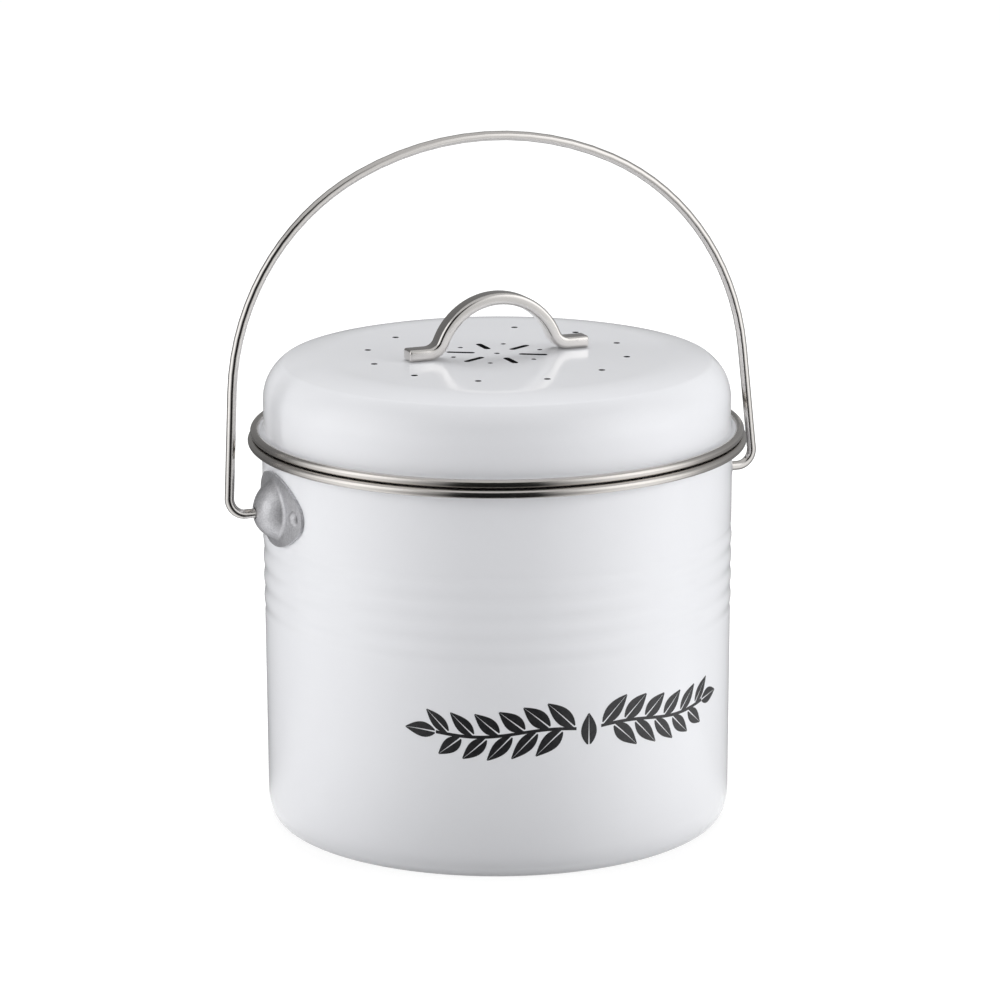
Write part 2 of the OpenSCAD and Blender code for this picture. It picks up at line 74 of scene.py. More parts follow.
def grain(finish, place, scale, stretch=(1, 1, 1), detail=2.0):
    """A noise pattern on the piece's own coordinates, stretched along its axes."""
    nodes, links = finish.node_tree.nodes, finish.node_tree.links
    mapping = nodes.new("ShaderNodeMapping")
    mapping.inputs["Scale"].default_value = stretch
    pattern = nodes.new("ShaderNodeTexNoise")
    pattern.inputs["Scale"].default_value = scale
    pattern.inputs["Detail"].default_value = detail
    links.new(place.outputs["Object"], mapping.inputs["Vector"])
    links.new(mapping.outputs["Vector"], pattern.inputs["Vector"])
    return pattern.outputs["Fac"]


def ripple(finish, surface, height, distance):
    """Lets a pattern stand out of the surface by a real distance in metres."""
    nodes, links = finish.node_tree.nodes, finish.node_tree.links
    bump = nodes.new("ShaderNodeBump")
    bump.inputs["Strength"].default_value = 1
    bump.inputs["Distance"].default_value = distance
    links.new(height, bump.inputs["Height"])
    links.new(bump.outputs["Normal"], surface.inputs["Normal"])


def between(finish, socket, pattern, low, high, start=0.35, end=0.65):
    """Feeds a socket with values or colours that follow a pattern."""
    nodes, links = finish.node_tree.nodes, finish.node_tree.links
    ramp = nodes.new("ShaderNodeValToRGB")
    ramp.color_ramp.elements[0].position = start
    ramp.color_ramp.elements[1].position = end
    ramp.color_ramp.elements[0].color = low if len(low) == 4 else (*low, 1)
    ramp.color_ramp.elements[1].color = high if len(high) == 4 else (*high, 1)
    links.new(pattern, ramp.inputs["Fac"])
    links.new(ramp.outputs["Color"], socket)


def grey(value):
    return (value, value, value, 1)


enamel, enamel_surface, enamel_place = shader_of("white_enamel", (0.81, 0.82, 0.85), 0.12)
between(enamel, enamel_surface.inputs["Base Color"], grain(enamel, enamel_place, 9),
        (0.805, 0.812, 0.84), (0.82, 0.827, 0.853))
between(enamel, enamel_surface.inputs["Roughness"], grain(enamel, enamel_place, 40),
        grey(0.1), grey(0.14))
ripple(enamel, enamel_surface, grain(enamel, enamel_place, 160), 0.000008)

MM = 0.001
BODY_R, BASE_R, SHEET = 90.3, 89.7, 0.8
CORNER_W, CORNER_H, CORNER_STEPS = 4, 10, 10
PANEL_R, PANEL_Z, FOOT_RING_R = 73.9, 1.6, 77.9
UPPER_WALL_Z = 130
WALL_TOP_Z, PAIL_FLARE_R, PAIL_BEAD_R, PAIL_BEAD_Z = 146.2, 2, 94.05, 148.6
RIB_TOP_Z, RIB_PITCH, RIB_H, RIB_COUNT, RIB_STEPS = 110.9, 7.9, 0.38, 4, 16


def draw_profile(bm, start, moves):
    """Draws the cross-section of a sheet in the XZ plane, in millimetres. (x, z) is a
    straight run to that point, and (x, z, degrees) is a turn about that centre."""
    tip = bm.verts.new((start[0], 0, start[1]))
    for move in moves:
        if len(move) == 2:
            tip = bmesh.ops.extrude_vert_indiv(bm, verts=[tip])["verts"][0]
            tip.co = (move[0], 0, move[1])
        else:
            x, z, turn = move
            radius = (tip.co - Vector((x, 0, z))).length
            steps = max(3, round(abs(turn) / 5), round(radius * math.radians(abs(turn)) / 3))
            arc = bmesh.ops.spin(bm, geom=[tip], cent=(x, 0, z), axis=(0, -1, 0),
                                 angle=math.radians(turn), steps=steps, use_merge=False)
            tip = [part for part in arc["geom_last"] if isinstance(part, bmesh.types.BMVert)][0]
    return tip


def turn_round(bm, core=None, steps=192):
    """Turns the drawn cross-section round the Z axis and closes its seam and poles. Its
    faces then point away from the Z axis, or from a core ring (radius, z) inside it."""
    bmesh.ops.spin(bm, geom=bm.verts[:] + bm.edges[:], cent=(0, 0, 0), axis=(0, 0, 1),
                   angle=math.tau, steps=steps, use_merge=True)
    bmesh.ops.remove_doubles(bm, verts=bm.verts, dist=0.002)
    bmesh.ops.recalc_face_normals(bm, faces=bm.faces)
    ring_r, ring_z = core or (0, 0)
    outward = 0
    for face in bm.faces:
        middle = face.calc_center_median()
        away = Vector((middle.x, middle.y, 0))
        away = away - away.normalized() * ring_r + Vector((0, 0, middle.z - ring_z if core else 0))
        outward += face.normal.dot(away) * face.calc_area()
    if outward < 0:
        bmesh.ops.reverse_faces(bm, faces=bm.faces)


def finished(name, bm, body, finish, nodes=(), sharp=30):
    """Scales a mesh in millimetres to metres, and makes it a smooth piece that rides on its
    body and stands for the CAD nodes that it replaces."""
    bmesh.ops.scale(bm, vec=(MM, MM, MM), verts=bm.verts)
    mesh = bpy.data.meshes.new(name)
    bm.to_mesh(mesh)
    bm.free()
    mesh.shade_smooth()
    mesh.set_sharp_from_angle(angle=math.radians(sharp))
    mesh.materials.append(finish)
    piece = bpy.data.objects.new(name, mesh)
    bpy.context.scene.collection.objects.link(piece)
    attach(piece, body)
    if nodes:
        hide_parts(*nodes)
    return piece


def wall_r(z):
    return BASE_R + (BODY_R - BASE_R) * (z - CORNER_H) / (WALL_TOP_Z - CORNER_H)


def wave(step):
    """A point of the ridged band of the wall, counted from its low end."""
    z = RIB_TOP_Z - (RIB_COUNT - 0.5 - step / RIB_STEPS) * RIB_PITCH
    return wall_r(z) - RIB_H / 2 * math.cos(math.tau * step / RIB_STEPS), z


def corner_point(step):
    turn = math.radians(90 * step / CORNER_STEPS)
    return BASE_R - CORNER_W + CORNER_W * math.sin(turn), CORNER_H - CORNER_H * math.cos(turn)


pail = bmesh.new()
band = range(-RIB_STEPS // 4, RIB_COUNT * RIB_STEPS + RIB_STEPS // 4 + 1)
draw_profile(pail, (0, PANEL_Z), [
    (40, PANEL_Z), (PANEL_R, PANEL_Z), (PANEL_R + 0.7, PANEL_Z - 0.1),
    (FOOT_RING_R - 0.7, 0.15), (FOOT_RING_R, 0), (BASE_R - CORNER_W, 0),
    *[corner_point(step) for step in range(1, CORNER_STEPS + 1)],
    *[wave(step) for step in band],
    (wall_r(UPPER_WALL_Z), UPPER_WALL_Z), (BODY_R, WALL_TOP_Z),
    (BODY_R + PAIL_FLARE_R, WALL_TOP_Z, -90), (PAIL_BEAD_R, PAIL_BEAD_Z - SHEET / 2)])
turn_round(pail)
bmesh.ops.solidify(pail, geom=pail.faces[:], thickness=SHEET)
finished("pail", pail, "bucket", enamel, ["bucket_shell"])


# Front motif: two sprigs of leaves with a bud between them, screen-printed on the coat in
# black. The ink is a film a twentieth of a millimetre thick.
MOTIF_Z, STEM_FROM, STEM_TO, STEM_W = 56.5, 5, 58, 1.2
STEM_SWAY, STEM_BEND = 1.2, 9
INK_T, INK_RISE = 0.07, 0.05
LEAF_COUNT, LEAF_PITCH, LEAF_TURN = 11, 4.75, 42
LEAF_L, LEAF_W, MIDRIB_HALF = 13.5, 6.2, 0.28

ink, ink_surface, ink_place = shader_of("printed_ink", (0.018, 0.018, 0.02), 0.3)
between(ink, ink_surface.inputs["Base Color"], grain(ink, ink_place, 700),
        (0.014, 0.014, 0.016), (0.024, 0.024, 0.026))
motif = bmesh.new()
stem = bmesh.ops.create_grid(motif, x_segments=24, y_segments=1, size=0.5)["verts"]
bmesh.ops.scale(motif, verts=stem, vec=(STEM_TO - STEM_FROM, STEM_W, 1))
bmesh.ops.translate(motif, verts=stem, vec=((STEM_FROM + STEM_TO) / 2, 0, 0))


def leaf(length, width, turn, u, v, halves=(-1, 1)):
    """One leaf in two halves, with its midrib left open between them."""
    for half in halves:
        made = bmesh.ops.create_grid(motif, x_segments=12, y_segments=2, size=0.5)["verts"]
        for corner in made:
            along, across = corner.co.x + 0.5, corner.co.y + 0.5
            reach = width / 2 * math.sin(math.pi * (0.03 + 0.94 * along) ** 0.8)
            gap = MIDRIB_HALF * (1 - 0.9 * along)
            corner.co = (along * length, half * (gap + across * reach), 0)
        bmesh.ops.rotate(motif, verts=made, cent=(0, 0, 0),
                         matrix=Matrix.Rotation(math.radians(turn), 3, "Z"))
        bmesh.ops.translate(motif, verts=made, vec=(u, v, 0))


for count in range(LEAF_COUNT):
    up = 1 if count % 2 == 0 else -1
    size = 1 - 0.02 * count
    leaf(LEAF_L * size, LEAF_W * size, up * LEAF_TURN,
         STEM_FROM + 1 + LEAF_PITCH * count, up * 0.85)
leaf(11.5, 5.5, 0, STEM_TO + 0.4, 0)
leaf(12, 6, 90, 0, -6, (-1,))
motif.normal_update()
bmesh.ops.reverse_faces(motif, faces=[face for face in motif.faces if face.normal.z < 0])
bmesh.ops.solidify(motif, geom=motif.faces[:], thickness=INK_T)
bmesh.ops.mirror(motif, geom=motif.verts[:] + motif.edges[:] + motif.faces[:],
                 axis="X", merge_dist=0)
bmesh.ops.recalc_face_normals(motif, faces=motif.faces)
for corner in motif.verts:
    u, v, rise = corner.co
    z = MOTIF_Z + v + STEM_SWAY * math.sin(abs(u) / STEM_BEND)
    reach = wall_r(z) + INK_RISE + rise
    corner.co = (reach * math.sin(u / BODY_R), -reach * math.cos(u / BODY_R), z)
finished("leaf_motif", motif, "bucket", ink)


# Lid: drawn from one sheet, with a flat middle, a border that falls off gently, a tight
# edge and a large shoulder. The vents are punched through it: six petals, and round holes
# between and around them. The walls of the holes are coloured near-black, as painted shade
# inside the vents.
LID_R, LID_FLARE_R, LID_BEAD_R, LID_BEAD_Z, LID_TOP_Z = 89.6, 1.7, 93.05, 152.2, 181.0
FLAT_R, FALL_R, FALL_ANGLE = 65.0, 65.3, 14.485
EDGE_MID, SHOULDER_MID, SHOULDER_ANGLE = (80.3327, 175.0515), (72.6, 164.6013), 53.5
SCREW_X, SCREW_HOLE_D = 32.79, 4.5
MIDDLE_HOLE_D, PETAL_W, PETAL_AT, PETAL_RUN = 2.2, 2.6, 9.8, 8.4
SMALL_HOLE_D, SMALL_HOLE_AT, OUTER_HOLE_D, OUTER_HOLE_AT = 2.0, 17.8, 2.6, 50
LID_SEAT_Z = LID_BEAD_Z + SHEET / 2 + LID_FLARE_R

lid = bmesh.new()
draw_profile(lid, (0, LID_TOP_Z), [
    (30, LID_TOP_Z), (FLAT_R, LID_TOP_Z),
    (FLAT_R, LID_TOP_Z - FALL_R, -FALL_ANGLE),
    (*EDGE_MID, FALL_ANGLE + SHOULDER_ANGLE - 90),
    (*SHOULDER_MID, -SHOULDER_ANGLE),
    (LID_R, 160), (LID_R, LID_SEAT_Z),
    (LID_R + LID_FLARE_R, LID_SEAT_Z, 90), (LID_BEAD_R, LID_BEAD_Z + SHEET / 2)])
turn_round(lid)
bmesh.ops.solidify(lid, geom=lid.faces[:], thickness=SHEET)
lid_sheet = finished("lid", lid, "lid", enamel, ["lid_shell"])

punches = bmesh.new()


def punch(diameter, radius, turn, length=0.0):
    """A round punch, or a long one with round ends, at a distance from the middle."""
    made = bmesh.ops.create_cone(punches, cap_ends=True, segments=32, radius1=diameter / 2,
                                 radius2=diameter / 2, depth=12)["verts"]
    far = [corner for corner in made if corner.co.x > 0]
    bmesh.ops.translate(punches, verts=far, vec=(length, 0, 0))
    bmesh.ops.translate(punches, verts=made, vec=(radius, 0, 180))
    bmesh.ops.rotate(punches, verts=made, cent=(0, 0, 0),
                     matrix=Matrix.Rotation(math.radians(turn), 3, "Z"))


punch(MIDDLE_HOLE_D, 0, 0)
for sixth in range(6):
    punch(PETAL_W, PETAL_AT, 30 + 60 * sixth, PETAL_RUN)
    punch(SMALL_HOLE_D, SMALL_HOLE_AT, 60 * sixth)
for twelfth in range(12):
    punch(OUTER_HOLE_D, OUTER_HOLE_AT, 30 * twelfth)
for side in (0, 180):
    punch(SCREW_HOLE_D, SCREW_X, side)
bmesh.ops.scale(punches, vec=(MM, MM, MM), verts=punches.verts)
punch_mesh = bpy.data.meshes.new("punches")
punches.to_mesh(punch_mesh)
punches.free()
punch_set = bpy.data.objects.new("punches", punch_mesh)
bpy.context.scene.collection.objects.link(punch_set)
cut = lid_sheet.modifiers.new("vents", "BOOLEAN")
cut.operation = "DIFFERENCE"
cut.solver = "EXACT"
cut.object = punch_set
pressed = lid_sheet.evaluated_get(bpy.context.evaluated_depsgraph_get())
punched = bpy.data.meshes.new_from_object(pressed)
lid_sheet.modifiers.clear()
lid_sheet.data = punched
punched.shade_smooth()
punched.set_sharp_from_angle(angle=math.radians(30))
# The walls of the vent holes are coloured near-black: painted shade inside the vents.
vent_painted_shade, vent_shade_surface, vent_shade_place = shader_of("vent_wall_painted_shade", (0.03, 0.03, 0.032), 0.6, 0.6)
between(vent_painted_shade, vent_shade_surface.inputs["Base Color"], grain(vent_painted_shade, vent_shade_place, 900),
        (0.012, 0.012, 0.013), (0.04, 0.04, 0.042))
punched.materials.append(vent_painted_shade)
# The upright hole walls in the vented middle of the lid take that painted shade.
for face in punched.polygons:
    if abs(face.normal.z) < 0.1 and math.hypot(*face.center.xy) < 0.056:
        face.material_index = 1
bpy.data.objects.remove(punch_set)


# Rim beads: two strips of bare steel, rolled round the flange of the pail and of the lid.
# They are polished and a little warmer and darker than the coat.
def polished(name, colour, roughness, stretch=(1, 1, 1)):
    """Bare stainless steel with the fine lines that polishing leaves."""
    finish, surface, place = shader_of(name, colour, roughness, 1.0)
    lines = grain(finish, place, 900, stretch, 3.0)
    between(finish, surface.inputs["Roughness"], lines,
            grey(roughness * 0.8), grey(roughness * 1.3))
    ripple(finish, surface, lines, 0.000004)
    return finish


rolled_steel = polished("rolled_steel", (0.60, 0.575, 0.55), 0.16, (1, 1, 6))
BEAD_R, STRIP, BEAD_MOUTH = 1.65, 0.7, 24


def rolled_bead(name, mid_r, z, body, node):
    """A strip rolled to a tube with a slit, which grips the flange, and turned to a ring."""
    bead = bmesh.new()
    start = (mid_r + BEAD_R * math.cos(math.radians(180 + BEAD_MOUTH)),
             z + BEAD_R * math.sin(math.radians(180 + BEAD_MOUTH)))
    draw_profile(bead, start, [(mid_r, z, 360 - 2 * BEAD_MOUTH)])
    turn_round(bead, (mid_r, z))
    bmesh.ops.solidify(bead, geom=bead.faces[:], thickness=STRIP)
    return finished(name, bead, body, rolled_steel, [node], 50)


rolled_bead("pail_bead", PAIL_BEAD_R, PAIL_BEAD_Z, "bucket", "bucket_rim_ring")
rolled_bead("lid_bead", LID_BEAD_R, LID_BEAD_Z, "lid", "lid_rim_ring")


# Bail: one length of round polished steel wire. It is bent twice at each side and once
# over the top, and its upset ends sit in the ears. It stands leaning back a little.
PIVOT_Z, WIRE_R, BAIL_LEAN = 127.6, 1.8, 4.65
FOOT_X, FOOT_R, LEG_ANGLE, LEG_TOP = 102.14, 6.2, 4.1, (105.46, 46.6)
SHOULDER_AT, BOW_ANGLE, BOW_Z = (12.3, 39.92), 25, 13.55
HEAD_OUT, HEAD_R, HEAD_T = 96.63, 3.2, 1.6

drawn_wire = polished("drawn_wire", (0.62, 0.60, 0.58), 0.14)


def sweep(bm, edges, moves):
    """Draws a ring of edges on along straight runs (x, z) and turns (x, z, degrees)."""
    for move in moves:
        corners = list({corner for edge in edges for corner in edge.verts})
        middle = sum((corner.co for corner in corners), Vector()) / len(corners)
        if len(move) == 2:
            drawn = bmesh.ops.extrude_edge_only(bm, edges=edges)["geom"]
            edges = [part for part in drawn if isinstance(part, bmesh.types.BMEdge)]
            far = [part for part in drawn if isinstance(part, bmesh.types.BMVert)]
            bmesh.ops.translate(bm, verts=far, vec=Vector((move[0], 0, move[1])) - middle)
        else:
            x, z, turn = move
            steps = max(6, round(abs(turn) / 4))
            drawn = bmesh.ops.spin(bm, geom=edges, cent=(x, 0, z), axis=(0, -1, 0),
                                   angle=math.radians(turn), steps=steps,
                                   use_merge=False)["geom_last"]
            edges = [part for part in drawn if isinstance(part, bmesh.types.BMEdge)]
    return edges


bail = bmesh.new()
ring = bmesh.ops.create_circle(bail, cap_ends=True, radius=WIRE_R, segments=24)["verts"]
bmesh.ops.rotate(bail, verts=ring, matrix=Matrix.Rotation(math.radians(90), 3, "Y"))
bmesh.ops.translate(bail, verts=ring, vec=(HEAD_OUT - 0.4, 0, 0))
sweep(bail, bail.edges[:], [
    (FOOT_X, 0), (FOOT_X, FOOT_R, 90 + LEG_ANGLE), LEG_TOP,
    (*SHOULDER_AT, 90 - BOW_ANGLE - LEG_ANGLE), (0, BOW_Z, BOW_ANGLE)])
for vert in bail.verts:
    if abs(vert.co.x) < 0.05:
        vert.co.x = 0
bmesh.ops.mirror(bail, geom=bail.verts[:] + bail.edges[:] + bail.faces[:],
                 axis="X", merge_dist=0.02)
for side in (-1, 1):
    head = bmesh.ops.create_cone(bail, cap_ends=True, segments=24, radius1=HEAD_R,
                                 radius2=HEAD_R, depth=HEAD_T)
    corners = set(head["verts"])
    rims = [edge for edge in bail.edges if corners.issuperset(edge.verts)
            and edge.verts[0].co.z * edge.verts[1].co.z > 0]
    corners |= set(bmesh.ops.bevel(bail, geom=rims, offset=0.5, segments=3, profile=0.5,
                                   affect="EDGES", material=-1)["verts"])
    made = [corner for corner in corners if corner.is_valid]
    bmesh.ops.rotate(bail, verts=made, matrix=Matrix.Rotation(math.radians(90), 3, "Y"))
    bmesh.ops.translate(bail, verts=made, vec=(side * (HEAD_OUT - HEAD_T / 2), 0, 0))
bmesh.ops.rotate(bail, verts=bail.verts,
                 matrix=Matrix.Rotation(math.radians(-BAIL_LEAN), 3, "X"))
bmesh.ops.translate(bail, verts=bail.verts, vec=(0, 0, PIVOT_Z))
bmesh.ops.recalc_face_normals(bail, faces=bail.faces)
finished("bail", bail, "bail", drawn_wire, ["bail_wire"], 50)


# Ears: pressed from galvanised sheet, an oval plate curved to the wall with a hollow boss
# in its middle that holds the bail's end. Two dome-headed rivets fix each to the pail.
zinc, zinc_surface, zinc_place = shader_of("galvanised", (0.6, 0.6, 0.62), 0.5, 1.0)
spangle = grain(zinc, zinc_place, 1500, (1, 1, 1), 4.0)
between(zinc, zinc_surface.inputs["Base Color"], spangle, (0.52, 0.52, 0.54), (0.66, 0.66, 0.68))
between(zinc, zinc_surface.inputs["Roughness"], grain(zinc, zinc_place, 400),
        grey(0.46), grey(0.58))
ripple(zinc, zinc_surface, spangle, 0.00002)

EAR_T, BOSS_TOP, HOLE_R = 1.0, 7.5, 2.2
BOSS_MID, BOSS_TURN = -4.397, -51.54
BOSS_FOOT_R, BOSS_FOOT_RISE, BOSS_FOOT_TURN = 12.33, 1.8, 63.32
EAR_HALF, EAR_RISE, EAR_END_R, EAR_LIFT = 23.5, 14, 8, 0.9
RIVET_AT, RIVET_R, RIVET_HEAD_R, RIVET_RISE = 17.75, 1.5, 3, 1.6
RIVET_GRIP, RIVET_TAIL_T = 2.1, 0.8
EAR_END_AT = EAR_HALF - EAR_END_R
EAR_SIDE_R = (EAR_END_AT ** 2 + EAR_RISE ** 2 - EAR_END_R ** 2) / (2 * (EAR_RISE - EAR_END_R))


def in_ear(u, v):
    """True where a point of the sheet lies inside the oval outline of an ear."""
    split = EAR_END_AT * EAR_SIDE_R / (EAR_SIDE_R - EAR_END_R)
    if abs(u) < split:
        return math.hypot(u, abs(v) + EAR_SIDE_R - EAR_RISE) < EAR_SIDE_R
    return math.hypot(abs(u) - EAR_END_AT, v) < EAR_END_R


def ear_reach(turn):
    """Distance from the middle of an ear to its outline, in one direction."""
    low, high = 5.0, 40.0
    for _ in range(24):
        middle = (low + high) / 2
        if in_ear(middle * math.cos(turn), middle * math.sin(turn)):
            low = middle
        else:
            high = middle
    return low


for side, name in ((1, "right"), (-1, "left")):
    ear = bmesh.new()
    draw_profile(ear, (HOLE_R, BOSS_TOP - 1.1), [
        (HOLE_R, BOSS_TOP - 0.4), (HOLE_R + 0.25, BOSS_TOP - 0.15),
        (0, BOSS_MID, BOSS_TURN), (BOSS_FOOT_R, BOSS_FOOT_RISE, BOSS_FOOT_TURN)])
    turn_round(ear, steps=96)
    rim = [edge for edge in ear.edges if edge.is_boundary
           and min(math.hypot(*corner.co.xy) for corner in edge.verts) > 8]
    for share in (0.25, 0.5, 0.75, 0.93, 1.0):
        drawn = bmesh.ops.extrude_edge_only(ear, edges=rim)["geom"]
        rim = [part for part in drawn if isinstance(part, bmesh.types.BMEdge)]
        for corner in [part for part in drawn if isinstance(part, bmesh.types.BMVert)]:
            turn = math.atan2(corner.co.y, corner.co.x)
            reach = BOSS_FOOT_R + (ear_reach(turn) - BOSS_FOOT_R) * share
            corner.co = (reach * math.cos(turn), reach * math.sin(turn), 0)
    bmesh.ops.recalc_face_normals(ear, faces=ear.faces)
    if sum(face.normal.z * face.calc_area() for face in ear.faces) < 0:
        bmesh.ops.reverse_faces(ear, faces=ear.faces)
    bmesh.ops.solidify(ear, geom=ear.faces[:], thickness=EAR_T)
    for corner in ear.verts:
        u, v, rise = corner.co
        lift = EAR_LIFT * (1 - max(0, rise) / BOSS_TOP)
        corner.co = (math.sqrt((BODY_R + EAR_T) ** 2 - u ** 2) + rise, u, PIVOT_Z + v + lift)
    if side < 0:
        bmesh.ops.rotate(ear, verts=ear.verts, cent=(0, 0, 0),
                         matrix=Matrix.Rotation(math.pi, 3, "Z"))
    finished("ear_" + name + "_plate", ear, "bucket", zinc, ["ear_" + name], 40)

rivets = bmesh.new()
for side in (0, 180):
    for turn in (-1, 1):
        rivet = bmesh.new()
        dome_r = (RIVET_HEAD_R ** 2 + RIVET_RISE ** 2) / (2 * RIVET_RISE)
        draw_profile(rivet, (0, RIVET_RISE), [
            (0, RIVET_RISE - dome_r, -math.degrees(math.asin(RIVET_HEAD_R / dome_r))),
            (RIVET_R, 0), (RIVET_R, -RIVET_GRIP), (RIVET_HEAD_R, -RIVET_GRIP),
            (RIVET_HEAD_R - 0.3, -RIVET_GRIP - RIVET_TAIL_T), (0, -RIVET_GRIP - RIVET_TAIL_T)])
        turn_round(rivet, steps=32)
        bmesh.ops.translate(rivet, verts=rivet.verts, vec=(0, 0, BODY_R + EAR_T))
        bmesh.ops.rotate(rivet, verts=rivet.verts, cent=(0, 0, 0),
                         matrix=Matrix.Rotation(math.radians(90), 3, "Y"))
        spin = math.radians(side) + turn * math.asin(RIVET_AT / BODY_R)
        bmesh.ops.rotate(rivet, verts=rivet.verts, cent=(0, 0, 0),
                         matrix=Matrix.Rotation(spin, 3, "Z"))
        bmesh.ops.translate(rivet, verts=rivet.verts, vec=(0, 0, PIVOT_Z + EAR_LIFT))
        single = bpy.data.meshes.new("rivet")
        rivet.to_mesh(single)
        rivet.free()
        rivets.from_mesh(single)
        bpy.data.meshes.remove(single)
finished("rivets", rivets, "bucket", zinc, ["ear_rivets"], 40)


# Lid handle: a flat bar of polished steel with rounded edges, bent into an arch with two
# feet. Screws from under the lid hold the feet.
BAR_W, BAR_H, BAR_EDGE, HANDLE_HALF = 7.6, 4.6, 1.3, 36.7
ARCH_R, BEND_R, FOOT_Z, HANDLE_TOP = 24.7, 6.5, 181.0, 205.0
FOOT_MID_Z = FOOT_Z + BAR_H / 2
ARCH_Z = HANDLE_TOP - BAR_H / 2 - ARCH_R
BEND_Z = FOOT_MID_Z + BEND_R
BEND_X = math.sqrt((ARCH_R + BEND_R) ** 2 - (BEND_Z - ARCH_Z) ** 2)
ARCH_START = math.degrees(math.atan2(BEND_Z - ARCH_Z, BEND_X))

bar_steel = polished("bar_steel", (0.66, 0.64, 0.62), 0.12, (1, 5, 5))
handle = bmesh.new()
section = bmesh.ops.create_grid(handle, x_segments=1, y_segments=1, size=0.5)["verts"]
bmesh.ops.scale(handle, verts=section, vec=(BAR_H, BAR_W, 1))
bmesh.ops.bevel(handle, geom=section, offset=BAR_EDGE, segments=6, profile=0.5,
                affect="VERTICES", material=-1)
bmesh.ops.rotate(handle, verts=handle.verts, matrix=Matrix.Rotation(math.radians(90), 3, "Y"))
bmesh.ops.translate(handle, verts=handle.verts, vec=(HANDLE_HALF, 0, FOOT_MID_Z))
sweep(handle, handle.edges[:], [
    (BEND_X, FOOT_MID_Z), (BEND_X, BEND_Z, ARCH_START - 90), (0, ARCH_Z, 90 - ARCH_START)])
for corner in handle.verts:
    if abs(corner.co.x) < 0.05:
        corner.co.x = 0
bmesh.ops.mirror(handle, geom=handle.verts[:] + handle.edges[:] + handle.faces[:],
                 axis="X", merge_dist=0.02)
ends = [edge for edge in handle.edges
        if all(abs(abs(corner.co.x) - HANDLE_HALF) < 0.01 for corner in edge.verts)]
bmesh.ops.bevel(handle, geom=ends, offset=0.7, segments=4, profile=0.5,
                affect="EDGES", material=-1)
bmesh.ops.recalc_face_normals(handle, faces=handle.faces)
finished("handle", handle, "lid", bar_steel, ["lid_handle"], 50)


# Charcoal pad: a round cut from open black foam. It lies loose in its holder, so that it can
# be changed.
foam, foam_surface, foam_place = shader_of("charcoal_foam", (0.02, 0.02, 0.021), 0.9)
pores = foam.node_tree.nodes.new("ShaderNodeTexVoronoi")
pores.inputs["Scale"].default_value = 700
foam.node_tree.links.new(foam_place.outputs["Object"], pores.inputs["Vector"])
between(foam, foam_surface.inputs["Base Color"], pores.outputs["Distance"],
        (0.004, 0.004, 0.004), (0.045, 0.045, 0.047), 0.1, 0.6)
ripple(foam, foam_surface, pores.outputs["Distance"], 0.0006)
pad = bmesh.new()
pad_from, pad_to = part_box("charcoal_filter")
pad_r = (pad_to.x - pad_from.x) / 2 / MM - 0.2
pad_low, pad_top = pad_from.z / MM + 0.05, pad_to.z / MM - 0.15
draw_profile(pad, (0, pad_low), [
    *[(reach, pad_low) for reach in range(2, int(pad_r - 1), 2)], (pad_r - 1, pad_low),
    (pad_r - 1, pad_low + 1, 90), (pad_r, (pad_low + pad_top) / 2), (pad_r, pad_top - 1),
    (pad_r - 1, pad_top - 1, 90),
    *[(reach, pad_top) for reach in range(int(pad_r - 2), 0, -2)], (0, pad_top)])
turn_round(pad, steps=160)
for corner in pad.verts:
    corner.co -= corner.normal * 0.12 * (1 + noise.noise(corner.co * 1.3))
charcoal_pad = finished("charcoal_pad", pad, "filter", foam,
                        ["charcoal_filter"], 60)


# Holder, skirt, hooks, screws and washers inside the lid: dark moulded plastic and bare
# steel, which show once the lid is lifted.
moulded, moulded_surface, moulded_place = shader_of("moulded_plastic", (0.06, 0.062, 0.065), 0.45)
ripple(moulded, moulded_surface, grain(moulded, moulded_place, 1200, (1, 1, 1), 4.0), 0.00003)
between(moulded, moulded_surface.inputs["Roughness"], grain(moulded, moulded_place, 60),
        grey(0.4), grey(0.52))
inner_steel = polished("inner_steel", (0.58, 0.57, 0.56), 0.25, (1, 1, 4))
for node, finish in (("filter_holder", moulded), ("lid_skirt", inner_steel),
                     ("filter_clips", inner_steel), ("handle_screws", inner_steel),
                     ("handle_washers", inner_steel)):
    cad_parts[node].data.materials.clear()
    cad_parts[node].data.materials.append(finish)


# Studio: a white floor, its colour darker close to the caddy as painted contact shadow,
# under a plain even light, with soft lamps at both sides and above. The metal and the gloss
# also see a round studio: a bright screen at each side, a dark gap where the photographer
# stands, and grey behind.
CAMERA_TURN = 112
STUDIO_R, STUDIO_H, FLOOR_GAP_R, FLOOR_LAYER_Z = 2.4, 2.6, 0.091, 0.0015
SCREENS = ((-180, 0.14), (-128, 0.11), (-108, 0.2), (-92, 0.7), (-70, 1.0), (-50, 0.8),
           (-36, 0.42), (-25, 0.2), (-19, 0.01), (19, 0.01), (25, 0.22), (36, 0.5),
           (50, 0.85), (70, 1.0), (90, 0.8), (104, 0.36), (130, 0.22), (180, 0.14))
WALL_GLOW, FLOOR_GLOW, CEILING_GLOW = 1.7, 1.2, 0.68


def maths(tree, operation, *values):
    """Adds a maths node, and links or sets its inputs."""
    node = tree.nodes.new("ShaderNodeMath")
    node.operation = operation
    for socket, value in zip(node.inputs, values):
        if isinstance(value, bpy.types.NodeSocket):
            tree.links.new(value, socket)
        else:
            socket.default_value = value
    return node.outputs["Value"]


def seen_rays(tree):
    """Is 1 for the rays of the camera, of reflections and through clear things."""
    path = tree.nodes.new("ShaderNodeLightPath")
    seen = maths(tree, "MAXIMUM", path.outputs["Is Camera Ray"], path.outputs["Is Glossy Ray"])
    return maths(tree, "MAXIMUM", seen, path.outputs["Is Transmission Ray"])


